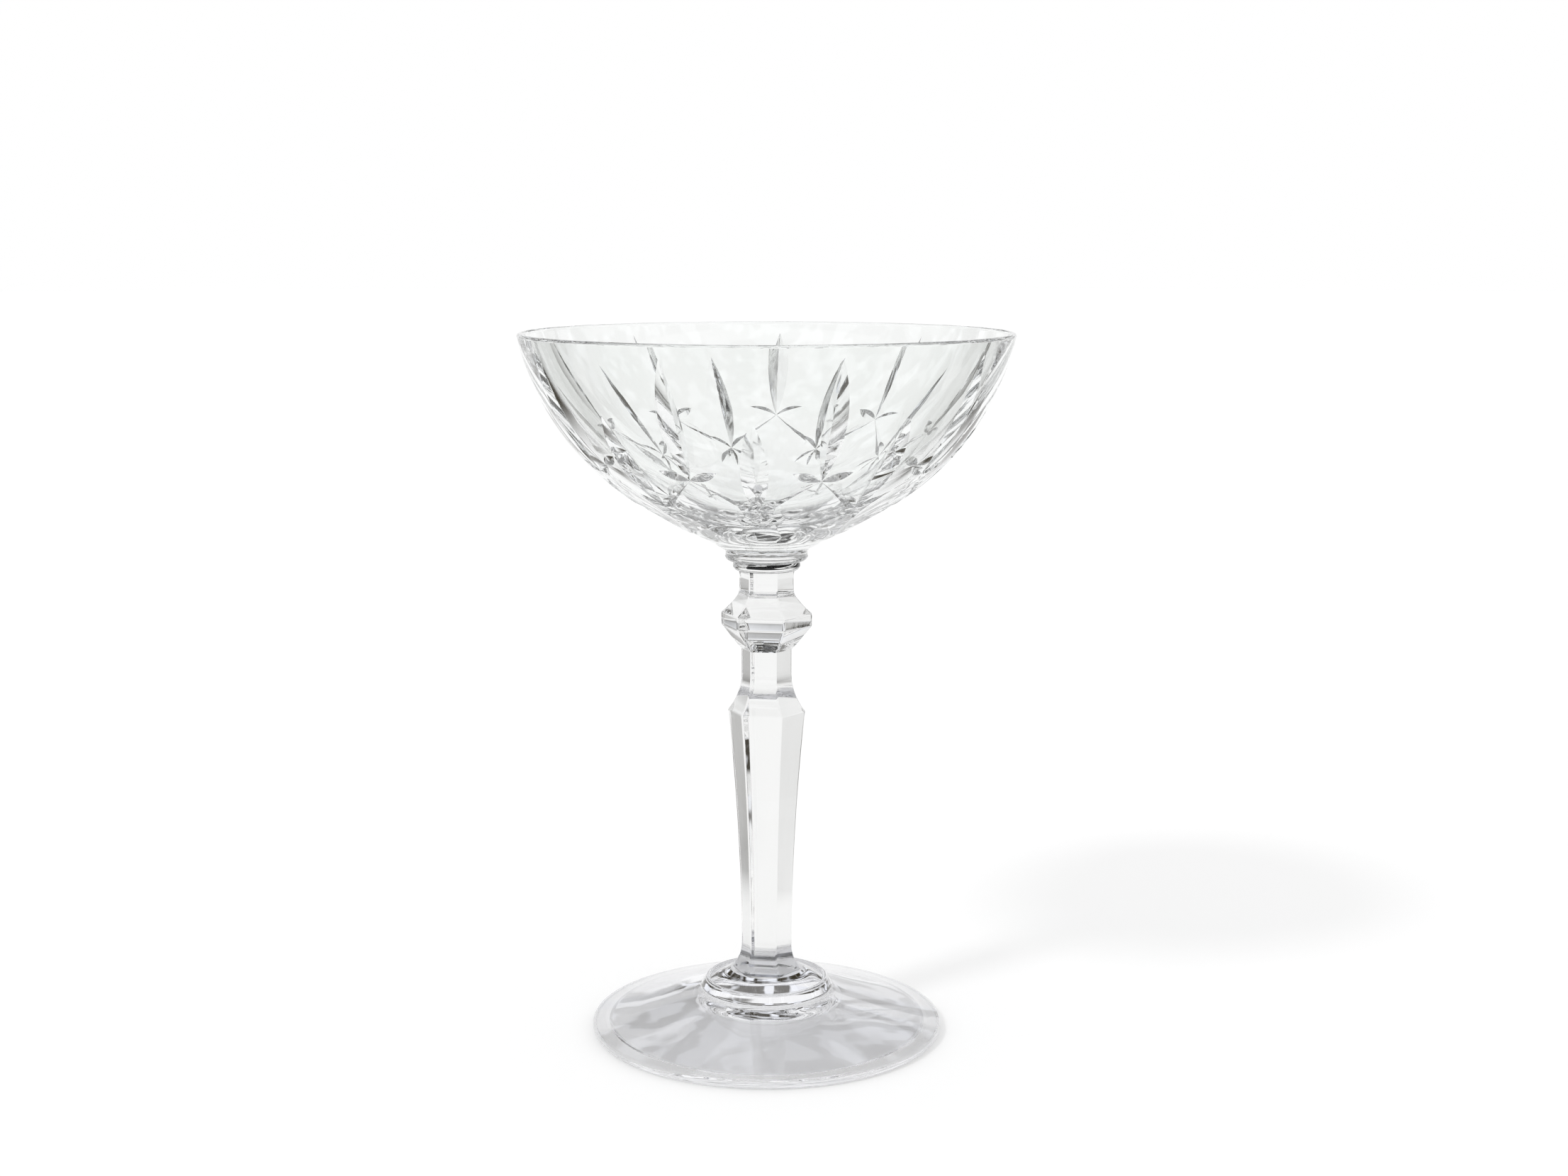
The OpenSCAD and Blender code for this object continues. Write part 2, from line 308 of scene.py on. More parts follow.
    @staticmethod
    def smooth(piece: bpy.types.Object, crease: float) -> None:
        """Shades a piece smooth up to an angle, and lets its wide faces set the normals.

        Args:
            piece: the finished piece.
            crease: least angle between two faces at which the edge stays sharp.
        """
        Bench.pick(piece)
        bpy.ops.object.shade_smooth_by_angle(angle=crease)
        for change in list(piece.modifiers):
            bpy.ops.object.modifier_apply(modifier=change.name)
        change = piece.modifiers.new("wide faces lead", "WEIGHTED_NORMAL")
        change.keep_sharp = True
        bpy.ops.object.modifier_apply(modifier=change.name)


class NodeKit:
    """A small hand for wiring shader nodes."""

    def __init__(self, tree: bpy.types.NodeTree) -> None:
        """Keeps the tree that the nodes go into."""
        self.tree = tree

    def add(self, kind: str, values: dict | None = None, **settings: object) -> bpy.types.Node:
        """Adds a node.

        Args:
            kind: the node's type.
            values: values for its input sockets, by name or number.
            settings: properties of the node itself.

        Returns:
            The new node.
        """
        node = self.tree.nodes.new(kind)
        for key, value in settings.items():
            setattr(node, key, value)
        for key, value in (values or {}).items():
            node.inputs[key].default_value = value
        return node

    def link(self, source: bpy.types.NodeSocket, target: bpy.types.NodeSocket) -> None:
        """Joins an output to an input."""
        self.tree.links.new(source, target)

    def maths(self, operation: str, first: object, second: object) -> bpy.types.NodeSocket:
        """A Math node's result, from sockets or plain numbers.

        Args:
            operation: what the node does.
            first: its first socket or number.
            second: its second socket or number.

        Returns:
            The result's socket.
        """
        node = self.add("ShaderNodeMath", operation=operation)
        for place, value in enumerate((first, second)):
            if isinstance(value, bpy.types.NodeSocket):
                self.link(value, node.inputs[place])
            else:
                node.inputs[place].default_value = value
        return node.outputs["Value"]

    def mix(self, node: bpy.types.Node, factor: object, first: object, second: object) -> None:
        """Fills a colour Mix node.

        Args:
            node: the Mix node.
            factor: the factor's socket.
            first: first colour, or its socket.
            second: second colour, or its socket.
        """
        colours = [socket for socket in node.inputs if socket.type == "RGBA"]
        self.link(factor, node.inputs["Factor"])
        for socket, value in zip(colours, (first, second)):
            if isinstance(value, bpy.types.NodeSocket):
                self.link(value, socket)
            else:
                socket.default_value = value

    def ramp(
        self, value: bpy.types.NodeSocket, start: tuple[float, float], end: tuple[float, float]
    ) -> bpy.types.NodeSocket:
        """A soft step between two values.

        Args:
            value: what the step follows.
            start: where the step begins and ends.
            end: what it puts out at those two places.

        Returns:
            The step's socket.
        """
        step = self.add("ShaderNodeMapRange", interpolation_type="SMOOTHSTEP")
        self.link(value, step.inputs["Value"])
        step.inputs["From Min"].default_value, step.inputs["From Max"].default_value = start
        step.inputs["To Min"].default_value, step.inputs["To Max"].default_value = end
        return step.outputs["Result"]

    @staticmethod
    def colour_out(node: bpy.types.Node) -> bpy.types.NodeSocket:
        """The colour that a Mix node puts out."""
        return [socket for socket in node.outputs if socket.type == "RGBA"][0]


def new_group(
    name: str, inputs: dict[str, float], outputs: Sequence[str]
) -> tuple[bpy.types.ShaderNodeTree, NodeKit, bpy.types.Node, bpy.types.Node]:
    """Starts a shader node group that reads a position and some numbers.

    Args:
        name: the group's name.
        inputs: its number sockets with the values that they start with.
        outputs: its number results.

    Returns:
        The group, a hand for it, its input node and its output node.
    """
    group = bpy.data.node_groups.new(name, "ShaderNodeTree")
    group.interface.new_socket(name="Position", in_out="INPUT", socket_type="NodeSocketVector")
    for key, value in inputs.items():
        socket = group.interface.new_socket(name=key, in_out="INPUT", socket_type="NodeSocketFloat")
        socket.default_value = value
    for key in outputs:
        group.interface.new_socket(name=key, in_out="OUTPUT", socket_type="NodeSocketFloat")
    kit = NodeKit(group)
    return group, kit, kit.add("NodeGroupInput"), kit.add("NodeGroupOutput")


def fire_ripple_group() -> bpy.types.ShaderNodeTree:
    """The slow waves that fire polish leaves on pressed glass.

    Returns:
        A group that puts out Height, from long waves and a share of short ones.
    """
    start = {"Wave Scale": 120.0, "Stretch": 0.35, "Short Waves": 0.25}
    group, kit, given, out = new_group("Fire polish ripple", start, ["Height"])
    finer = 3.1
    squeeze = kit.add("ShaderNodeCombineXYZ", {"X": 1.0, "Y": 1.0})
    kit.link(given.outputs["Stretch"], squeeze.inputs["Z"])
    stretched = kit.add("ShaderNodeVectorMath", operation="MULTIPLY")
    kit.link(given.outputs["Position"], stretched.inputs[0])
    kit.link(squeeze.outputs["Vector"], stretched.inputs[1])
    long_waves = kit.add("ShaderNodeTexNoise", {"Detail": 0.0, "Roughness": 0.4, "Distortion": 0.3})
    short_waves = kit.add("ShaderNodeTexNoise", {"Detail": 1.0, "Roughness": 0.5})
    for waves in (long_waves, short_waves):
        kit.link(stretched.outputs["Vector"], waves.inputs["Vector"])
    kit.link(given.outputs["Wave Scale"], long_waves.inputs["Scale"])
    kit.link(kit.maths("MULTIPLY", given.outputs["Wave Scale"], finer), short_waves.inputs["Scale"])
    small = kit.maths("MULTIPLY", short_waves.outputs["Fac"], given.outputs["Short Waves"])
    kit.link(kit.maths("ADD", long_waves.outputs["Fac"], small), out.inputs["Height"])
    return group


def wheel_marks_group() -> bpy.types.ShaderNodeTree:
    """The fine lines that the cutting wheel and the polish leave along a cut.

    Returns:
        A group that puts out Height of the lines and Haze, where the polish is thinner.
    """
    group, kit, given, out = new_group(
        "Cutting wheel marks", {"Line Scale": 900.0, "Patch Scale": 160.0}, ["Height", "Haze"]
    )
    lines = kit.add("ShaderNodeTexNoise", {"Detail": 2.0, "Roughness": 0.6})
    patches = kit.add("ShaderNodeTexNoise", {"Detail": 1.0, "Roughness": 0.5})
    kit.link(given.outputs["Position"], lines.inputs["Vector"])
    kit.link(given.outputs["Position"], patches.inputs["Vector"])
    kit.link(given.outputs["Line Scale"], lines.inputs["Scale"])
    kit.link(given.outputs["Patch Scale"], patches.inputs["Scale"])
    kit.link(lines.outputs["Fac"], out.inputs["Height"])
    haze = kit.add("ShaderNodeMapRange", {"From Min": 0.45, "From Max": 0.75})
    kit.link(patches.outputs["Fac"], haze.inputs["Value"])
    kit.link(haze.outputs["Result"], out.inputs["Haze"])
    return group


class Effect(Enum):
    """Shader node groups that the finishes share, by the name of the group."""

    RIPPLE = "Fire polish ripple"
    WHEEL = "Cutting wheel marks"

    def node(self, kit: NodeKit, values: dict) -> bpy.types.Node:
        """Places this effect in a material.

        Args:
            kit: the hand that wires the material.
            values: values for the group's sockets.

        Returns:
            The group's node, which reads Object coordinates.
        """
        made = bpy.data.node_groups.get(self.value)
        if made is None:
            made = {Effect.RIPPLE: fire_ripple_group, Effect.WHEEL: wheel_marks_group}[self]()
        node = kit.add("ShaderNodeGroup")
        node.node_tree = made
        for key, value in values.items():
            node.inputs[key].default_value = value
        place = kit.add("ShaderNodeTexCoord")
        kit.link(place.outputs["Object"], node.inputs["Position"])
        return node


@dataclass(frozen=True)
class CrystalFinish:
    """Clear crystal as it leaves the fire or the wheel.

    Attributes:
        name: the material's name.
        tint: colour that the surface gives the light that passes it.
        thin_tint: colour where the surface is least tinted.
        ripple: height of the slow waves, in metres.
        wave_scale: how close the slow waves lie.
        stretch: how much longer the waves are along the axis, below 1 for longer.
        polish: roughness where the polish is best.
        haze: roughness where it is worst.
        cut_marks: height of the wheel's lines, in metres, none on polished glass.
        short_waves: share of the height that short waves take.
    """

    name: str
    tint: Colour
    thin_tint: Colour
    ripple: float
    wave_scale: float
    stretch: float
    polish: float
    haze: float
    cut_marks: float = 0.0
    short_waves: float = 0.25

    IOR = 1.54

    def material(self) -> bpy.types.Material:
        """Builds the material.

        Returns:
            A glass whose waves, polish and tint vary over the surface.
        """
        made = bpy.data.materials.new(self.name)
        made.use_nodes = True
        kit = NodeKit(made.node_tree)
        glass = made.node_tree.nodes["Principled BSDF"]
        glass.inputs["IOR"].default_value = self.IOR
        glass.inputs["Transmission Weight"].default_value = 1.0
        shape = {
            "Wave Scale": self.wave_scale, "Stretch": self.stretch, "Short Waves": self.short_waves,
        }
        waves = Effect.RIPPLE.node(kit, shape)
        marks = Effect.WHEEL.node(kit, {})
        height = kit.maths("MULTIPLY", waves.outputs["Height"], self.ripple)
        if self.cut_marks:
            lines = kit.maths("MULTIPLY", marks.outputs["Height"], self.cut_marks)
            height = kit.maths("ADD", height, lines)
        bump = kit.add("ShaderNodeBump", {"Strength": 1.0, "Distance": 1.0})
        kit.link(height, bump.inputs["Height"])
        kit.link(bump.outputs["Normal"], glass.inputs["Normal"])
        polish = kit.add("ShaderNodeMapRange", {"To Min": self.polish, "To Max": self.haze})
        kit.link(marks.outputs["Haze"], polish.inputs["Value"])
        kit.link(polish.outputs["Result"], glass.inputs["Roughness"])
        shade = kit.add("ShaderNodeMix", data_type="RGBA")
        kit.mix(shade, waves.outputs["Height"], rgba(self.thin_tint), rgba(self.tint))
        kit.link(kit.colour_out(shade), glass.inputs["Base Color"])
        return made


def seam_material() -> bpy.types.Material:
    """The fused seam between two gathers, where light passes as if nothing were there.

    Returns:
        A wholly clear material with the crystal's index.
    """
    made = bpy.data.materials.new("fused_seam")
    made.use_nodes = True
    glass = made.node_tree.nodes["Principled BSDF"]
    glass.inputs["Alpha"].default_value = 0.0
    glass.inputs["Transmission Weight"].default_value = 1.0
    glass.inputs["IOR"].default_value = CrystalFinish.IOR
    return made


WALL_FINISH = CrystalFinish(
    "fire_polished_wall", tint=(0.955, 0.97, 0.96), thin_tint=(0.985, 0.99, 0.985),
    ripple=0.012 * MM, wave_scale=110.0, stretch=0.5, polish=0.0, haze=0.006,
)
CUT_FINISH = CrystalFinish(
    "polished_cut", tint=(0.94, 0.955, 0.95), thin_tint=(0.975, 0.98, 0.98),
    ripple=0.006 * MM, wave_scale=300.0, stretch=0.3, polish=0.03, haze=0.12, cut_marks=0.0008 * MM,
)
STEM_FINISH = CrystalFinish(
    "fire_polished_stem", tint=(0.89, 0.895, 0.89), thin_tint=(0.925, 0.925, 0.92),
    ripple=0.01 * MM, wave_scale=190.0, stretch=0.22, polish=0.0, haze=0.008,
)
FOOT_FINISH = CrystalFinish(
    "fire_polished_foot", tint=(0.97, 0.975, 1.0), thin_tint=(0.99, 0.99, 1.0),
    ripple=1.1 * MM, wave_scale=42.0, stretch=1.0, polish=0.0, haze=0.008, short_waves=0.05,
)


@dataclass
class Part:
    """A sub-assembly: its pieces ride on the one body and stand for their nodes."""

    steps: int = 288
    crease: float = math.radians(22)
    seat_test: float = 0.01 * MM

    def dress(
        self,
        piece: bpy.types.Object,
        node: str,
        slot: Slot,
        materials: Sequence[bpy.types.Material],
    ) -> None:
        """Gives a piece its materials and sets it in the frame.

        Args:
            piece: the finished piece.
            node: the node that it stands for.
            slot: the record's slot that it takes its finish from.
            materials: its materials, in the order of FaceKind.
        """
        slots = piece.data.materials
        for place, material in enumerate(materials):
            if place < len(slots):
                slots[place] = material
            else:
                slots.append(material)
        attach(piece, "root")
        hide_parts(node)
        count = len(piece.data.polygons)
        LOG.info("%s: %d faces, stands for %s, finish %s", piece.name, count, node, slot.value)

    def mark_seams(self, piece: bpy.types.Object, seats: Iterable[tuple[float, float]]) -> None:
        """Marks the faces that are fused to a neighbour.

        Args:
            piece: the piece.
            seats: height and greatest radius of each seat.
        """
        for height, reach in seats:
            def on_seat(face: bpy.types.MeshPolygon) -> bool:
                """Whether every corner of the face lies on the seat."""
                corners = [piece.data.vertices[i].co for i in face.vertices]
                level = all(abs(c.z - height) < self.seat_test for c in corners)
                return level and all(math.hypot(c.x, c.y) < reach + self.seat_test for c in corners)
            Bench.select_faces(piece, on_seat)
            for face in piece.data.polygons:
                if face.select:
                    face.material_index = FaceKind.SEAM.value


@dataclass
class SixSided:
    """The stem's six-sided section, with its corners softly rounded.

    Attributes:
        turn: turn of the facets from the front.
        corner: share of the corner's radius that its rounding takes.
        rounds: faces of each rounded corner.
    """

    turn: float = math.radians(-8.4)
    corner: float = 0.05
    rounds: int = 4
    sides: int = 6

    def ring(self, radius: float, height: float) -> None:
        """Adds the section's ring to the piece in edit mode, or as a new piece.

        Args:
            radius: distance from the axis to a corner, before it is rounded.
            height: height of the ring.
        """
        bpy.ops.mesh.primitive_circle_add(
            vertices=self.sides, radius=radius, fill_type="NOTHING", location=(0, 0, height),
            rotation=(0, 0, self.turn + FULL_TURN / self.sides / 2),
        )
        if bpy.context.object.mode != "EDIT":
            bpy.ops.object.transform_apply(location=True, rotation=True, scale=True)
            bpy.ops.object.mode_set(mode="EDIT")
            bpy.ops.mesh.select_mode(type="VERT")
            bpy.ops.mesh.select_all(action="SELECT")
        bpy.ops.mesh.bevel(
            offset=radius * self.corner, offset_type="OFFSET", segments=self.rounds,
            affect="VERTICES", profile=0.5,
        )


@dataclass
class Foot(Part):
    """The broad round foot and the pad that it carries."""

    foot_d: float = 80.4 * MM
    foot_h: float = 9 * MM
    edge_r: float = 1.4 * MM
    ring_w: float = 3.6 * MM
    seat_t: float = 4.6 * MM
    bevel_w: float = 2.6 * MM
    bevel_h: float = 2.9 * MM
    pad_d: float = 30.4 * MM
    pad_h: float = 5 * MM
    pad_ring_h: float = 3.3 * MM
    pad_ring_in: float = 1.1 * MM
    pad_bead_r: float = 0.6 * MM
    pad_waist_h: float = 1.1 * MM
    ankle_d: float = 15.8 * MM
    seat_margin: float = 0.4 * MM
    last_step: float = 0.02
    soft_r: float = 0.5 * MM
    hollow_soft_r: float = 1.5 * MM
    section: SixSided = field(default_factory=SixSided)

    @property
    def stem_z(self) -> float:
        """Height of the stem's seat."""
        return self.foot_h + self.pad_h

    def make_foot(self) -> bpy.types.Object:
        """Turns the foot, hollowed underneath.

        Returns:
            The foot.
        """
        foot_r, pad_r = self.foot_d / 2, self.pad_d / 2
        edge = (foot_r - self.edge_r, self.edge_r)
        hollow_r, hollow_z = edge[0] - self.ring_w, self.foot_h - self.seat_t
        diagonal = math.sqrt(0.5) * self.edge_r
        shoulder = (edge[0] + diagonal, edge[1] + diagonal)
        bevel = (foot_r - self.bevel_w, self.bevel_h)
        outline = (
            Outline(0, hollow_z)
            .line_to(pad_r, hollow_z, steps=6)
            .line_to(hollow_r, 0, steps=14)
            .line_to(edge[0], 0, steps=2)
            .arc_to(edge, shoulder, steps=12)
            .line_to(*bevel)
            .line_to(pad_r, self.foot_h, steps=24)
            .line_to(0, self.foot_h, steps=8)
        )
        outline.soften((pad_r, hollow_z), self.hollow_soft_r, steps=6)
        outline.soften((hollow_r, 0), self.soft_r, steps=5)
        outline.soften(bevel, self.soft_r, steps=5)
        foot = Bench.turn("foot_disc", outline, self.steps)
        self.mark_seams(foot, [(self.foot_h, pad_r)])
        Bench.smooth(foot, self.crease)
        return foot

    def make_pad(self) -> bpy.types.Object:
        """Turns the pad with its beaded ring and closes it with a flat round the stem's seat.

        Returns:
            The pad.
        """
        pad_r, base_z = self.pad_d / 2, self.foot_h
        ring_r = pad_r - self.pad_ring_in
        bead = (ring_r - self.pad_bead_r, base_z + self.pad_ring_h - self.pad_bead_r)
        seat_r = self.ankle_d / 2 + self.seat_margin
        waist = (pad_r, base_z + self.pad_waist_h)
        slope = (bead[0] - self.pad_bead_r - seat_r, self.stem_z - bead[1])
        last = (seat_r + slope[0] * self.last_step, self.stem_z - slope[1] * self.last_step)
        outline = (
            Outline(0, base_z)
            .line_to(pad_r, base_z, steps=6)
            .line_to(*waist, steps=2)
            .line_to(bead[0] + self.pad_bead_r, bead[1], steps=3)
            .arc_to(bead, (bead[0] - self.pad_bead_r, bead[1]), steps=14)
            .line_to(*last, steps=10)
            .line_to(seat_r, self.stem_z)
        )
        outline.soften(waist, self.soft_r, steps=5)
        pad = Bench.turn("foot_button", outline, self.steps)
        close_on_section(pad, self.section, self.ankle_d / 2, self.stem_z, seat_r)
        self.mark_seams(pad, [(base_z, pad_r), (self.stem_z, self.ankle_d / 2)])
        Bench.smooth(pad, self.crease)
        return pad

    def build(self) -> None:
        """Makes the foot and the pad and dresses them."""
        materials = [FOOT_FINISH.material(), seam_material()]
        self.dress(self.make_foot(), "foot", Slot.FOOT, materials)
        self.dress(self.make_pad(), "foot_pad", Slot.FOOT, materials)


def close_on_section(
    piece: bpy.types.Object, section: SixSided, radius: float, height: float, open_r: float
) -> None:
    """Closes a turned piece's open end with a flat that holds the stem's six-sided seat.

    Args:
        piece: the turned piece, open at one height.
        section: the stem's section.
        radius: the section's corner radius on this seat.
        height: height of the seat.
        open_r: radius of the piece's open end.
    """
    Bench.pick(piece)
    bpy.ops.object.mode_set(mode="EDIT")
    bpy.ops.mesh.select_mode(type="VERT")
    bpy.ops.mesh.select_all(action="DESELECT")
    section.ring(radius, height)
    bpy.ops.object.mode_set(mode="OBJECT")
    near = WELD * 10
    for edge in piece.data.edges:
        ends = [piece.data.vertices[i].co for i in edge.vertices]
        level = all(abs(e.z - height) < near for e in ends)
        round_open = all(abs(math.hypot(e.x, e.y) - open_r) < near for e in ends)
        edge.select = level and (round_open or edge.select)
    bpy.ops.object.mode_set(mode="EDIT")
    bpy.ops.mesh.select_mode(type="EDGE")
    bpy.ops.mesh.bridge_edge_loops()
    bpy.ops.mesh.select_all(action="DESELECT")
    bpy.ops.mesh.select_non_manifold(extend=False)
    bpy.ops.mesh.edge_face_add()
    bpy.ops.mesh.select_all(action="SELECT")
    bpy.ops.mesh.normals_make_consistent(inside=False)
    bpy.ops.object.mode_set(mode="OBJECT")


@dataclass
class Stem(Part):
    """The six-sided stem and the round collar between it and the bowl."""

    stem_z: float = 14 * MM
    ankle_d: float = 15.8 * MM
    skirt_d: float = 12.6 * MM
    skirt_h: float = 3 * MM
    ankle_h: float = 2.7 * MM
    taper_d: float = 11.7 * MM
    taper_h: float = 55.1 * MM
    taper_hollow: float = 0.7 * MM
    shoulder_d: float = 17.9 * MM
    shoulder_h: float = 8.7 * MM
    waist_d: float = 11.5 * MM
    waist_h: float = 5.4 * MM
    knop_foot_d: float = 13.4 * MM
    knop_d: float = 20.9 * MM
    knop_foot_h: float = 0.9 * MM
    knop_low_h: float = 4.6 * MM
    knop_belt_h: float = 2.8 * MM
    knop_top_h: float = 4.4 * MM
    neck_d: float = 12.8 * MM
    neck_h: float = 5.4 * MM
    ankle_hollow: float = 0.12 * MM
    knop_hollow: float = 0.4 * MM
    neck_hollow: float = 0.2 * MM
    collar_low_d: float = 13.5 * MM
    collar_top_d: float = 18.4 * MM
    collar_low_h: float = 2.3 * MM
    collar_top_h: float = 2.5 * MM
    collar_groove: float = 0.35 * MM
    collar_swell: float = 1 / 3
    bead_reach: float = 0.7
    bead_lift: float = 0.15 * MM
    soft_edge: float = 0.35 * MM
    section: SixSided = field(default_factory=SixSided)

    @staticmethod
    def hollow_to(outline: Outline, radius: float, rise: float, sag: float, steps: int) -> None:
        """Draws a shallow curve that is hollowed towards the axis.

        Args:
            outline: the outline that it goes on.
            radius: distance of its end from the axis.
            rise: height that it climbs.
            sag: depth of the hollow.
            steps: number of pieces of the curve.
        """
        r0, z0 = outline.points[-1]
        for i in range(1, steps + 1):
            t = i / steps
            dip = sag * (1 - (2 * t - 1) ** 2)
            outline.line_to(r0 + (radius - r0) * t - dip, z0 + rise * t)

    @staticmethod
    def swing_to(outline: Outline, radius: float, rise: float, steps: int) -> None:
        """Draws the round curve that runs in from the shoulder and ends upright at the waist.

        Args:
            outline: the outline that it goes on.
            radius: distance of its end from the axis.
            rise: height that it climbs.
            steps: number of pieces of the curve.
        """
        r0, z0 = outline.points[-1]
        out = r0 - radius
        bend = (out**2 + rise**2) / (2 * out)
        outline.arc_to((radius + bend, z0 + rise), (radius, z0 + rise), steps, clockwise=True)

    def outline(self) -> Outline:
        """The stem's outline over a corner, from the pad to the collar."""
        drawn = Outline(self.ankle_d / 2, self.stem_z)
        drawn.line_to(self.skirt_d / 2, self.stem_z + self.skirt_h, steps=4)
        skirt = drawn.points[-1]
        self.hollow_to(drawn, self.taper_d / 2, self.ankle_h, self.ankle_hollow, steps=8)
        self.hollow_to(drawn, self.shoulder_d / 2, self.taper_h, self.taper_hollow, steps=48)
        shoulder = drawn.points[-1]
        self.swing_to(drawn, self.waist_d / 2, self.shoulder_h, steps=18)
        drawn.line_to(self.waist_d / 2, drawn.points[-1][1] + self.waist_h, steps=4)
        waist = drawn.points[-1]
        drawn.line_to(self.knop_foot_d / 2, waist[1] + self.knop_foot_h)
        knop_foot = drawn.points[-1]
        drawn.line_to(self.knop_d / 2, knop_foot[1] + self.knop_low_h, steps=5)
        belt_low = drawn.points[-1]
        drawn.line_to(self.knop_d / 2, belt_low[1] + self.knop_belt_h, steps=3)
        belt_top = drawn.points[-1]
        self.hollow_to(drawn, self.neck_d / 2, self.knop_top_h, self.knop_hollow, steps=10)
        neck = drawn.points[-1]
        self.hollow_to(drawn, self.neck_d / 2, self.neck_h, self.neck_hollow, steps=8)
        for corner in (skirt, shoulder, knop_foot, belt_low, belt_top, neck):
            drawn.soften(corner, self.soft_edge, steps=4)
        return drawn

    def make_stem(self) -> bpy.types.Object:
        """Pulls the six-sided section up along the outline.

        Returns:
            The stem.
        """
        Bench.clear()
        points = self.outline().points
        self.section.ring(*points[0])
        stem = bpy.context.object
        stem.name = "six_sided_stem"
        stem.data.name = "six_sided_stem"
        bpy.ops.mesh.edge_face_add()
        for (r0, z0), (r1, z1) in zip(points, points[1:]):
            bpy.ops.mesh.extrude_region_move(TRANSFORM_OT_translate={"value": (0, 0, z1 - z0)})
            share = r1 / r0
            bpy.ops.transform.resize(value=(share, share, 1), center_override=(0, 0, z1))
        bpy.ops.mesh.select_all(action="SELECT")
        bpy.ops.mesh.normals_make_consistent(inside=False)
        bpy.ops.object.mode_set(mode="OBJECT")
        self.mark_seams(stem, [(points[0][1], points[0][0]), (points[-1][1], points[-1][0])])
        Bench.smooth(stem, self.crease)
        return stem

    def make_collar(self) -> bpy.types.Object:
        """Turns the collar with its two rings.

        Returns:
            The collar.
        """
        collar_z = self.outline().points[-1][1]
        groove_z = collar_z + self.collar_low_h
        top_z = groove_z + self.collar_top_h
        low_r, top_r = self.collar_low_d / 2, self.collar_top_d / 2
        mid_r = low_r + self.collar_swell * (top_r - low_r)
        low_bead = (mid_r - self.collar_low_h / 2, collar_z + self.collar_low_h / 2)
        top_bead = (top_r - self.collar_top_h / 2, groove_z + self.collar_top_h / 2)
        bead_r = self.collar_low_h / 2
        bead_end = (low_bead[0] + bead_r * self.bead_reach, groove_z - self.bead_lift)
        groove = (mid_r - self.collar_groove, groove_z)
        outline = Outline(low_r, collar_z)
        outline.arc_to(low_bead, (mid_r, low_bead[1]), steps=8)
        outline.arc_to(low_bead, bead_end, steps=6)
        outline.line_to(*groove)
        outline.arc_to(top_bead, (top_r, top_bead[1]), steps=8)
        outline.line_to(top_r, top_z, steps=3)
        outline.line_to(0, top_z, steps=5)
        collar = Bench.turn("ringed_collar", outline, self.steps)
        close_on_section(collar, self.section, self.neck_d / 2, collar_z, low_r)
        self.mark_seams(collar, [(collar_z, self.neck_d / 2), (top_z, top_r)])
        Bench.smooth(collar, self.crease)
        return collar

    def build(self) -> None:
        """Makes the stem and the collar and dresses them."""
        materials = [STEM_FINISH.material(), bpy.data.materials["fused_seam"]]
        self.dress(self.make_stem(), "stem", Slot.STEM, materials)
        self.dress(self.make_collar(), "bowl_collar", Slot.STEM, materials)


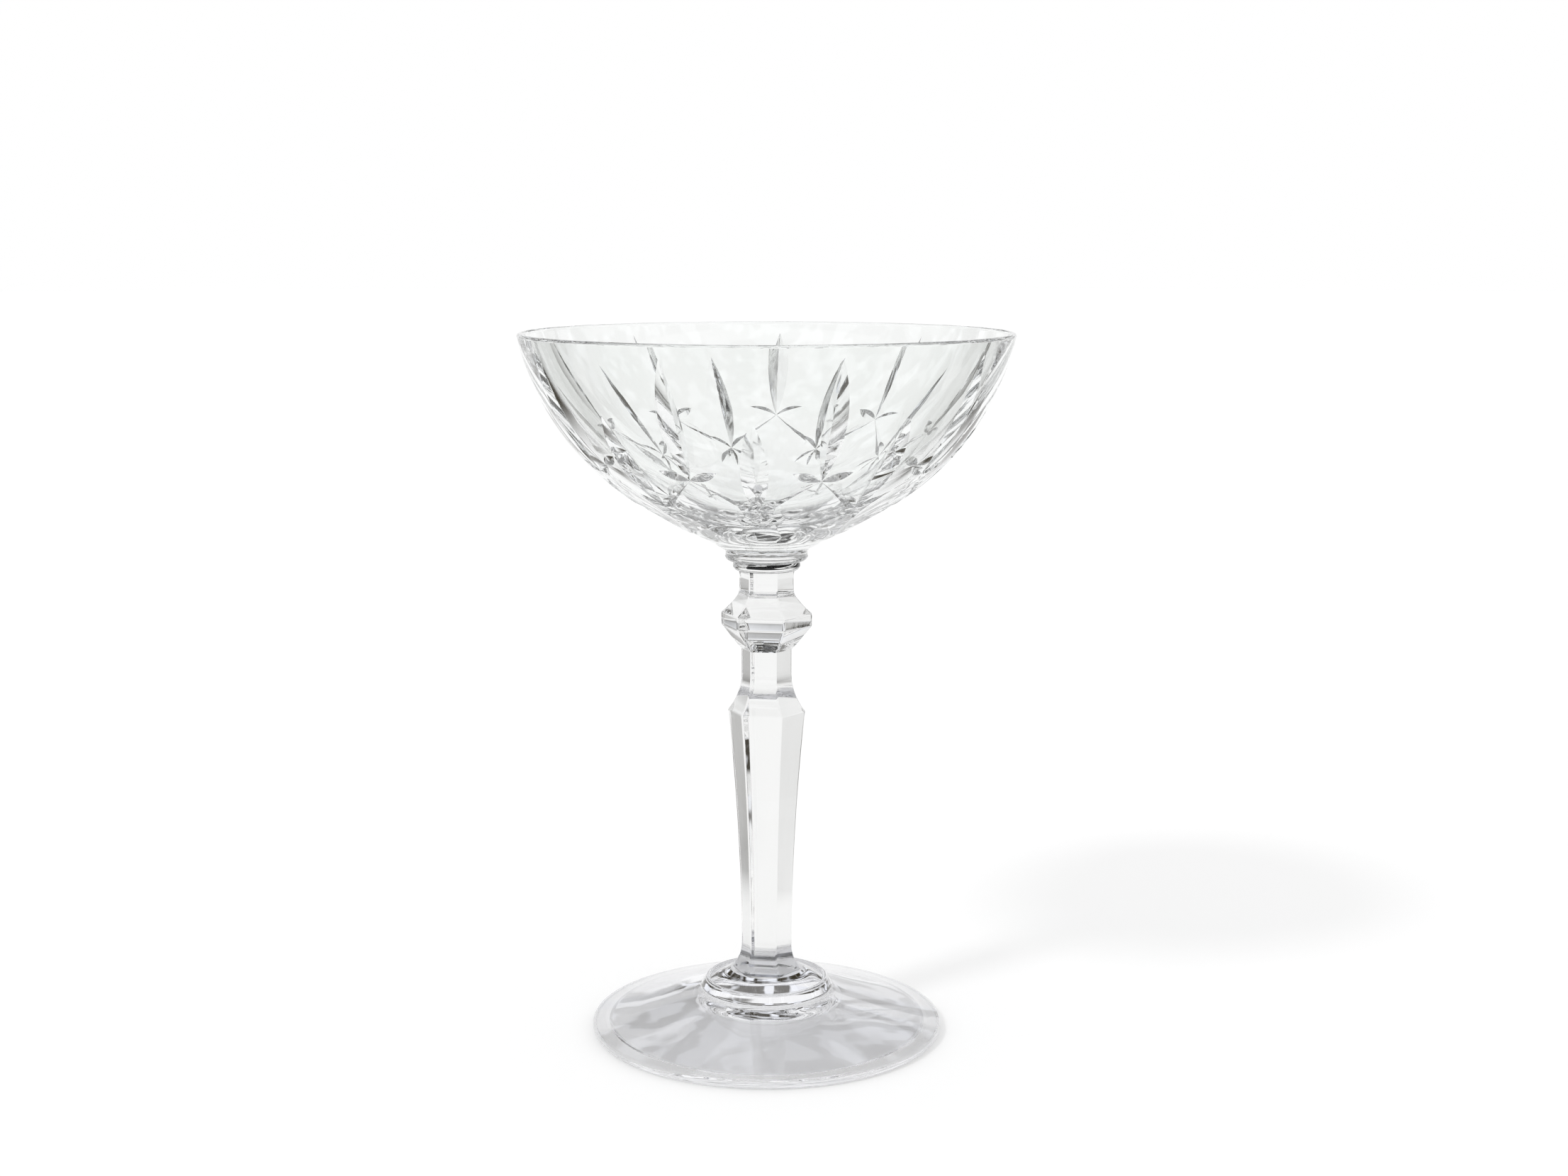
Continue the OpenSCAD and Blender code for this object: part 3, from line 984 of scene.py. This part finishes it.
@dataclass
class Bowl(Part):
    """The wide bowl, turned as a blank and then cut on the wheel."""

    bowl_z: float = 111.8 * MM
    rim_d: float = 109.8 * MM
    bowl_h: float = 48.2 * MM
    lip_t: float = 1.3 * MM
    collar_d: float = 18.4 * MM
    seat_d: float = 19.4 * MM
    base_d: float = 27 * MM
    base_h: float = 2.3 * MM
    hip_d: float = 67.7 * MM
    hip_h: float = 14.1 * MM
    hip_slope: float = math.radians(37.9)
    hip_t: float = 4 * MM
    floor_t: float = 7 * MM
    leaf_count: int = 9
    leaf_turn: float = math.radians(16.5)
    tall_leaf_drop: float = 3 * MM
    tall_star_h: float = 19.3 * MM
    tall_leaf_flank: float = math.radians(53)
    short_leaf_drop: float = 15.5 * MM
    short_star_h: float = 12.2 * MM
    short_leaf_flank: float = math.radians(62)
    arm_flank: float = math.radians(61)
    petal_l: float = 7.2 * MM
    petal_depth: float = 0.75 * MM
    petal_flank: float = math.radians(56)
    oval_wheel_r: float = 60 * MM
    upper_oval_depth: float = 1 * MM
    upper_oval_h: float = 11.4 * MM
    lower_oval_depth: float = 0.5 * MM
    lower_oval_h: float = 6.8 * MM
    overrun: float = 3.5 * MM
    tall_turns: tuple[float, ...] = (-68, 68)
    short_turns: tuple[float, ...] = (-48, 48, -142, 142, 180)
    petal_wheel_steps: int = 160
    oval_wheel_steps: int = 720
    side_on: float = 0.9
    skin_t: float = 0.02 * MM
    inner_skin_t: float = 0.3 * MM
    deepest_cut: float = 4 * MM

    def __post_init__(self) -> None:
        """Works out the arcs of the outside and the inside."""
        self.steps = 360
        self.crease = math.radians(9)
        self.rim_z = self.bowl_z + self.bowl_h
        lip_z = self.rim_z - self.lip_t / 2
        self.hip = (self.hip_d / 2, self.bowl_z + self.hip_h)
        self.base_edge = (self.base_d / 2, self.bowl_z + self.base_h)
        self.lip_out = (self.rim_d / 2, lip_z)
        self.wall_c, self.wall_r = self.arc(self.hip, self.hip_slope, self.lip_out)
        self.base_c, self.base_r = self.arc(self.hip, self.hip_slope, self.base_edge)
        self.floor_z = self.bowl_z + self.floor_t
        self.hip_in = (
            self.hip[0] - self.hip_t * math.sin(self.hip_slope),
            self.hip[1] + self.hip_t * math.cos(self.hip_slope),
        )
        self.lip_in = (self.lip_out[0] - self.lip_t, lip_z)
        rise = self.hip_in[1] - self.floor_z
        self.floor_r = (self.hip_in[0] ** 2 + rise**2) / (2 * rise)
        floor_slope = math.asin(self.hip_in[0] / self.floor_r)
        self.inner_c, self.inner_r = self.arc(self.hip_in, floor_slope, self.lip_in)

    @staticmethod
    def arc(start: Point, slope: float, end: Point) -> tuple[Point, float]:
        """The arc that leaves a point at a slope and ends at another.

        Args:
            start: the point that it leaves.
            slope: its slope there.
            end: the point that it meets.

        Returns:
            Its centre and its radius.
        """
        lean = math.atan2(end[1] - start[1], end[0] - start[0]) - slope
        radius = math.dist(start, end) / (2 * math.sin(lean))
        return (start[0] - radius * math.sin(slope), start[1] + radius * math.cos(slope)), radius

    def side(self, height: float) -> tuple[Point, float]:
        """Centre and radius of the outline's arc at a height."""
        return (self.wall_c, self.wall_r) if height > self.hip[1] else (self.base_c, self.base_r)

    def point(self, angle: float, height: float) -> Vector:
        """Point of the outside at an angle and a height."""
        centre, radius = self.side(height)
        out = centre[0] + math.sqrt(radius**2 - (height - centre[1]) ** 2)
        return Vector((out * math.sin(angle), -out * math.cos(angle), height))

    def outward(self, angle: float, height: float) -> Vector:
        """Direction straight out of the outside there."""
        centre, radius = self.side(height)
        out = math.sqrt(radius**2 - (height - centre[1]) ** 2)
        flat = Vector((out * math.sin(angle), -out * math.cos(angle), height - centre[1]))
        return flat / radius

    @staticmethod
    def sideways(angle: float) -> Vector:
        """Level direction round the bowl."""
        return Vector((math.cos(angle), math.sin(angle), 0))

    def upward(self, angle: float, height: float) -> Vector:
        """Direction up along the outside."""
        return self.outward(angle, height).cross(self.sideways(angle))

    def step_to(self, angle: float, height: float, turn: float, distance: float) -> Vector:
        """Point of the outside at a distance from a place on it.

        Args:
            angle: angle of the place.
            height: height of the place.
            turn: direction, from upward towards the right.
            distance: length of the step.

        Returns:
            The point, brought back to the outside.
        """
        along = math.cos(turn) * self.upward(angle, height) + math.sin(turn) * self.sideways(angle)
        target = self.point(angle, height) + distance * along
        return self.point(math.atan2(target.x, -target.y), target.z)

    @staticmethod
    def aim(origin: Vector, along: Vector, out: Vector) -> Matrix:
        """The place whose Z runs along one direction and whose Y faces out."""
        side = out.cross(along)
        turned = Matrix((side, out, along)).transposed().to_4x4()
        return Matrix.Translation(origin) @ turned

    def mitre_blade(
        self, start: Vector, end: Vector, out: Vector, flank: float, past: float
    ) -> bpy.types.Object:
        """A straight blade whose keel runs from one point to another, and past both.

        Args:
            start: where the keel starts.
            end: where it ends.
            out: direction out of the glass.
            flank: angle of each side from the blade's middle plane.
            past: distance that the keel runs past both points.

        Returns:
            The blade.
        """
        Bench.clear()
        along = (end - start).normalized()
        square_out = (out - out.dot(along) * along).normalized()
        bpy.ops.mesh.primitive_circle_add(vertices=3, radius=1, fill_type="NGON")
        blade = bpy.context.object
        bpy.ops.object.mode_set(mode="EDIT")
        bpy.ops.mesh.select_all(action="SELECT")
        half_side, tall = math.sin(math.pi / 3), 1 + math.cos(math.pi / 3)
        opening = self.overrun * math.tan(flank)
        bpy.ops.transform.translate(value=(0, -1, 0))
        bpy.ops.transform.resize(
            value=(opening / half_side, -self.overrun / tall, 1), center_override=(0, 0, 0)
        )
        length = (end - start).length + 2 * past
        bpy.ops.mesh.extrude_region_move(TRANSFORM_OT_translate={"value": (0, 0, length)})
        bpy.ops.mesh.select_all(action="SELECT")
        bpy.ops.mesh.normals_make_consistent(inside=False)
        bpy.ops.object.mode_set(mode="OBJECT")
        Bench.place(blade, self.aim(start - past * along, along, square_out))
        return blade

    def petal_wheel(self, start: Vector, end: Vector, out: Vector) -> bpy.types.Object:
        """A small wheel with a V edge, sunk in so that its cut runs from one point to another.

        Args:
            start: where the petal starts.
            end: where it ends.
            out: direction out of the glass.

        Returns:
            The wheel.
        """
        Bench.clear()
        chord = end - start
        along = chord.normalized()
        square_out = (out - out.dot(along) * along).normalized()
        wheel_r = ((chord.length / 2) ** 2 + self.petal_depth**2) / (2 * self.petal_depth)
        bpy.ops.mesh.primitive_cylinder_add(
            vertices=self.petal_wheel_steps, radius=wheel_r, depth=MM, end_fill_type="NGON"
        )
        wheel = bpy.context.object
        half = wheel_r * math.tan(self.petal_flank)
        for side in (-1, 1):
            Bench.select_faces(wheel, lambda face, side=side: face.normal.z * side > self.side_on)
            bpy.ops.object.mode_set(mode="EDIT")
            bpy.ops.mesh.select_mode(type="FACE")
            bpy.ops.mesh.extrude_region_move(
                TRANSFORM_OT_translate={"value": (0, 0, side * (half - MM / 2))}
            )
            bpy.ops.mesh.merge(type="CENTER")
            bpy.ops.object.mode_set(mode="OBJECT")
        Bench.select_faces(wheel, lambda face: abs(face.normal.z) < 1 - self.side_on)
        bpy.ops.object.mode_set(mode="EDIT")
        bpy.ops.transform.resize(value=(1, 1, 0), center_override=(0, 0, 0))
        bpy.ops.mesh.select_mode(type="VERT")
        bpy.ops.mesh.select_all(action="SELECT")
        bpy.ops.mesh.remove_doubles(threshold=WELD)
        bpy.ops.mesh.dissolve_degenerate(threshold=WELD)
        bpy.ops.mesh.select_all(action="SELECT")
        bpy.ops.mesh.normals_make_consistent(inside=False)
        bpy.ops.object.mode_set(mode="OBJECT")
        axle = along.cross(square_out)
        middle = (start + end) / 2 + (wheel_r - self.petal_depth) * square_out
        Bench.place(wheel, self.aim(middle, axle, square_out))
        return wheel

    def oval_wheel(self, angle: float, height: float, depth: float) -> bpy.types.Object:
        """A wide wheel that hollows an oval, its axle along the wall.

        Args:
            angle: angle of the oval's middle.
            height: height of its middle.
            depth: depth of the hollow.

        Returns:
            The wheel.
        """
        Bench.clear()
        out = self.outward(angle, height)
        bpy.ops.mesh.primitive_cylinder_add(
            vertices=self.oval_wheel_steps, radius=self.oval_wheel_r, depth=self.hip_d,
            end_fill_type="NGON",
        )
        wheel = bpy.context.object
        middle = self.point(angle, height) + (self.oval_wheel_r - depth) * out
        Bench.place(wheel, self.aim(middle, self.upward(angle, height), out))
        return wheel

    def make_blank(self) -> bpy.types.Object:
        """Turns the bowl's blank.

        Returns:
            The blank, closed and with its seam marked.
        """
        lip_c = (self.lip_out[0] - self.lip_t / 2, self.lip_out[1])
        outline = (
            Outline(0, self.bowl_z)
            .line_to(self.collar_d / 2, self.bowl_z, steps=6)
            .line_to(self.seat_d / 2, self.bowl_z)
            .line_to(*self.base_edge, steps=3)
            .arc_to(self.base_c, self.hip, steps=26)
            .arc_to(self.wall_c, self.lip_out, steps=44)
            .arc_to(lip_c, self.lip_in, steps=16)
            .arc_to(self.inner_c, self.hip_in, steps=40, clockwise=True)
            .arc_to((0, self.floor_z + self.floor_r), (0, self.floor_z), steps=30, clockwise=True)
        )
        blank = Bench.turn("cut_bowl", outline, self.steps)
        self.mark_seams(blank, [(self.bowl_z, self.collar_d / 2)])
        return blank

    def make_bowl(self) -> bpy.types.Object:
        """Cuts the ovals, the leaves, the arms and the stars into the blank.

        Returns:
            The finished bowl.
        """
        bowl = self.make_blank()
        pitch = FULL_TURN / self.leaf_count
        tall_a, short_a = self.leaf_turn, self.leaf_turn + pitch / 2
        tall_z, short_z = self.bowl_z + self.tall_star_h, self.bowl_z + self.short_star_h
        tall_tip, short_tip = self.rim_z - self.tall_leaf_drop, self.rim_z - self.short_leaf_drop
        for wheel in (
            self.oval_wheel(tall_a, self.bowl_z + self.upper_oval_h, self.upper_oval_depth),
            self.oval_wheel(short_a, self.bowl_z + self.lower_oval_h, self.lower_oval_depth),
        ):
            for blade in Bench.copies_round(wheel, self.leaf_count):
                Bench.cut(bowl, blade)
        masters = [
            self.mitre_blade(
                self.point(tall_a, tall_z), self.point(tall_a, tall_tip),
                self.outward(tall_a, tall_z), self.tall_leaf_flank, self.overrun,
            ),
            self.mitre_blade(
                self.point(short_a, short_z), self.point(short_a, short_tip),
                self.outward(short_a, short_z), self.short_leaf_flank, self.overrun,
            ),
        ]
        for side in (-1, 1):
            low = self.point(tall_a + side * pitch / 2, short_z)
            high = self.point(tall_a, tall_z)
            out = self.outward(tall_a + side * pitch / 4, (short_z + tall_z) / 2)
            masters.append(self.mitre_blade(low, high, out, self.arm_flank, 0))
        stars = ((tall_a, tall_z, self.tall_turns), (short_a, short_z, self.short_turns))
        for angle, height, turns in stars:
            for turn in turns:
                tip = self.step_to(angle, height, math.radians(turn), self.petal_l)
                start = self.point(angle, height)
                masters.append(self.petal_wheel(start, tip, self.outward(angle, height)))
        for master in masters:
            Bench.cut(bowl, Bench.joined(Bench.copies_round(master, self.leaf_count)))
        return bowl

    def mark_cuts(self, bowl: bpy.types.Object) -> None:
        """Gives the wheel's finish to the faces that no longer lie on the blank's outside.

        Args:
            bowl: the cut bowl.
        """
        for face in bowl.data.polygons:
            place = face.center
            radius = math.hypot(place.x, place.y)
            centre, size = self.side(place.z)
            gap = math.dist((radius, place.z), centre) - size
            outside = math.dist((radius, place.z), self.inner_c) - self.inner_r
            sunk = -self.deepest_cut < gap < -self.skin_t and outside > self.inner_skin_t
            if place.z > self.base_edge[1] and sunk:
                face.material_index = FaceKind.CUT.value

    def build(self) -> None:
        """Makes the bowl and dresses it."""
        bowl = self.make_bowl()
        self.mark_cuts(bowl)
        Bench.smooth(bowl, self.crease)
        seam = bpy.data.materials["fused_seam"]
        materials = [WALL_FINISH.material(), seam, CUT_FINISH.material()]
        self.dress(bowl, "bowl", Slot.BOWL, materials)


@dataclass
class Studio:
    """The pale floor with its painted dark reflection ring, the soft light and the camera."""

    image_w: float = 2212.0
    focal_px: float = 3161.0
    sensor_w: float = 36.0
    axis_px: float = 1081.4
    centre_px: float = 1106.0
    camera_back: float = 0.497
    camera_up: float = 0.1836
    camera_tilt: float = math.radians(9.24)
    floor_size: float = 6.0
    floor_glow: float = 0.34
    floor_colour: Colour = (0.6, 0.6, 0.6)
    key_spread: float = math.radians(9)
    key_power: float = 0.76
    key_aim: tuple[float, float, float] = (-110.8, -96.9, 140.0)
    backdrop_steps: tuple[tuple[float, float], ...] = (
        (0, 1.0), (9, 1.0), (12, 0.2), (17, 0.15), (18, 1.0), (22.5, 1.0), (24, 0.0), (90, 0.0),
    )
    backdrop_inner: float = math.radians(38)
    backdrop_side: float = math.radians(52)
    window_side: float = math.radians(76)
    window_inner: float = math.radians(86)
    window_glow: float = 0.8
    sheet_reach: tuple[float, float] = (0.1, 0.2)
    table_reach: tuple[float, float] = (0.7, 1.1)
    panel_scale: float = 8.0
    panel_edge: tuple[float, float] = (0.52, 0.6)
    # dark of the room; on the floor it is a painted dark reflection that only the glass shows
    room_dark_and_painted_floor_reflection: Colour = (0.035, 0.028, 0.016)
    room_light: Colour = (0.93, 0.95, 1.0)
    floor_steps: int = 96
    bounces: int = 32

    def camera(self) -> None:
        """Sets the camera at the photograph's angle."""
        seen = bpy.data.cameras.new("camera")
        seen.sensor_width = self.sensor_w
        seen.lens = self.focal_px / self.image_w * self.sensor_w
        seen.shift_x = (self.centre_px - self.axis_px) / self.image_w
        seen.clip_start = 0.01
        camera = bpy.data.objects.new("camera", seen)
        camera.location = (0, -self.camera_back, self.camera_up)
        camera.rotation_euler = (math.pi / 2 - self.camera_tilt, 0, 0)
        bpy.context.scene.collection.objects.link(camera)
        bpy.context.scene.camera = camera

    def floor(self) -> None:
        """Lays the pale floor, painted dark for all but camera rays in a ring round the glass, as a
        painted reflection.
        """
        Bench.clear()
        bpy.ops.mesh.primitive_circle_add(
            vertices=self.floor_steps, radius=self.floor_size, fill_type="NGON", location=(0, 0, 0)
        )
        floor = bpy.context.object
        floor.name = "floor"
        made = bpy.data.materials.new("floor")
        made.use_nodes = True
        kit = NodeKit(made.node_tree)
        cover = made.node_tree.nodes["Principled BSDF"]
        cover.inputs["Roughness"].default_value = 1.0
        cover.inputs["Specular IOR Level"].default_value = 0.0
        cover.inputs["Emission Color"].default_value = rgba(WHITE)
        place = kit.add("ShaderNodeTexCoord").outputs["Object"]
        reach = kit.add("ShaderNodeVectorMath", operation="LENGTH")
        kit.link(place, reach.inputs[0])
        near = kit.ramp(reach.outputs["Value"], self.sheet_reach, (1.0, 0.0))
        far = kit.ramp(reach.outputs["Value"], self.table_reach, (0.0, 1.0))
        path = kit.add("ShaderNodeLightPath")
        # painted dark reflection: for all but camera rays, the floor between the near sheet and the
        # far table, outside the backdrop's and the windows' ways, takes the room's dark colour and
        # no glow, so the glass shows a dark room there; the camera sees it pale
        pale = kit.maths("MAXIMUM", self.behind(kit, place), kit.maths("MAXIMUM", near, far))
        pale = kit.maths("MAXIMUM", pale, path.outputs["Is Camera Ray"])
        floor_or_painted_reflection = kit.add("ShaderNodeMix", data_type="RGBA")
        kit.mix(floor_or_painted_reflection, pale, rgba(self.room_dark_and_painted_floor_reflection), rgba(self.floor_colour))
        kit.link(kit.colour_out(floor_or_painted_reflection), cover.inputs["Base Color"])
        kit.link(kit.maths("MULTIPLY", pale, self.floor_glow), cover.inputs["Emission Strength"])
        floor.data.materials.append(made)

    def key_light(self) -> None:
        """Hangs the soft key light far off at the left, in front and above."""
        lamp = bpy.data.lights.new("key", "SUN")
        lamp.angle = self.key_spread
        lamp.energy = self.key_power
        key = bpy.data.objects.new("key", lamp)
        aim = Vector(self.key_aim).normalized()
        key.location = aim
        key.rotation_euler = aim.to_track_quat("Z", "Y").to_euler()
        key.visible_glossy = key.visible_transmission = False
        bpy.context.scene.collection.objects.link(key)

    def clutter(
        self, kit: NodeKit, way: bpy.types.NodeSocket, scale: float
    ) -> bpy.types.NodeSocket:
        """The dark and the lit patches of the room round the glass.

        Args:
            kit: the nodes they go into.
            way: a place or a direction, from the glass.
            scale: how close the patches lie.

        Returns:
            The patches' colour socket.
        """
        patches = kit.add("ShaderNodeTexNoise", {"Scale": scale, "Detail": 1.0, "Roughness": 0.4})
        kit.link(way, patches.inputs["Vector"])
        shades = kit.add("ShaderNodeValToRGB")
        kit.link(patches.outputs["Fac"], shades.inputs["Fac"])
        ends = shades.color_ramp.elements
        ends[0].position, ends[1].position = self.panel_edge
        ends[0].color, ends[1].color = rgba(self.room_dark_and_painted_floor_reflection), rgba(self.room_light)
        return shades.outputs["Color"]

    def behind(self, kit: NodeKit, way: bpy.types.NodeSocket) -> bpy.types.NodeSocket:
        """How far a way points at the backdrop behind the glass or at the windows before it.

        Args:
            kit: the nodes it goes into.
            way: a place or a direction, from the glass.

        Returns:
            The socket, 1 behind and in front of the glass and 0 in the dark gaps between.
        """
        level = kit.add("ShaderNodeVectorMath", operation="MULTIPLY")
        kit.link(way, level.inputs[0])
        level.inputs[1].default_value = (1, 1, 0)
        aim = kit.add("ShaderNodeVectorMath", operation="NORMALIZE")
        kit.link(level.outputs["Vector"], aim.inputs[0])
        parts = kit.add("ShaderNodeSeparateXYZ")
        kit.link(aim.outputs["Vector"], parts.inputs["Vector"])
        side = (math.cos(self.backdrop_side), math.cos(self.backdrop_inner))
        rear = kit.ramp(parts.outputs["Y"], side, (0.0, 1.0))
        window = (math.cos(self.window_inner), math.cos(self.window_side))
        front = kit.ramp(parts.outputs["Y"], window, (self.window_glow, 0.0))
        return kit.maths("MAXIMUM", rear, front)

    def world(self) -> None:
        """Hangs a white backdrop behind the glass, in a dim room with windows and lit panels."""
        room = bpy.data.worlds.new("room")
        room.use_nodes = True
        bpy.context.scene.world = room
        kit = NodeKit(room.node_tree)
        sky = room.node_tree.nodes["Background"]
        looking = kit.add("ShaderNodeTexCoord").outputs["Generated"]
        parts = kit.add("ShaderNodeSeparateXYZ")
        kit.link(looking, parts.inputs["Vector"])
        height = kit.add("ShaderNodeValToRGB")
        kit.link(parts.outputs["Z"], height.inputs["Fac"])
        steps = height.color_ramp.elements
        while len(steps) < len(self.backdrop_steps):
            steps.new(position=0.5)
        for step, (angle, shade) in zip(steps, self.backdrop_steps):
            step.position = math.sin(math.radians(angle))
            step.color = (*WHITE, shade)
        part = kit.maths("MULTIPLY", height.outputs["Alpha"], self.behind(kit, looking))
        lit = kit.add("ShaderNodeMix", data_type="RGBA")
        kit.mix(lit, part, self.clutter(kit, looking, self.panel_scale), rgba(WHITE))
        path = kit.add("ShaderNodeLightPath")
        plain = kit.maths("MAXIMUM", path.outputs["Is Camera Ray"], path.outputs["Diffuse Depth"])
        shown = kit.add("ShaderNodeMix", data_type="RGBA")
        kit.mix(shown, plain, kit.colour_out(lit), rgba(WHITE))
        kit.link(kit.colour_out(shown), sky.inputs["Color"])
        sky.inputs["Strength"].default_value = 1.0

    def build(self) -> None:
        """Builds the studio."""
        self.camera()
        self.floor()
        self.key_light()
        self.world()
        scene = bpy.context.scene
        scene.view_settings.view_transform = "Standard"
        scene.cycles.max_bounces = self.bounces
        scene.cycles.transmission_bounces = self.bounces
        scene.cycles.glossy_bounces = self.bounces
        scene.cycles.transparent_max_bounces = self.bounces
        scene.cycles.use_denoising = True


def main() -> None:
    """Builds the studio and then the glass, from the foot up."""
    logging.basicConfig(level=logging.INFO, format="%(name)s: %(message)s")
    Studio().build()
    for part in (Foot(), Stem(), Bowl()):
        part.build()


if __name__ == "__main__":
    main()
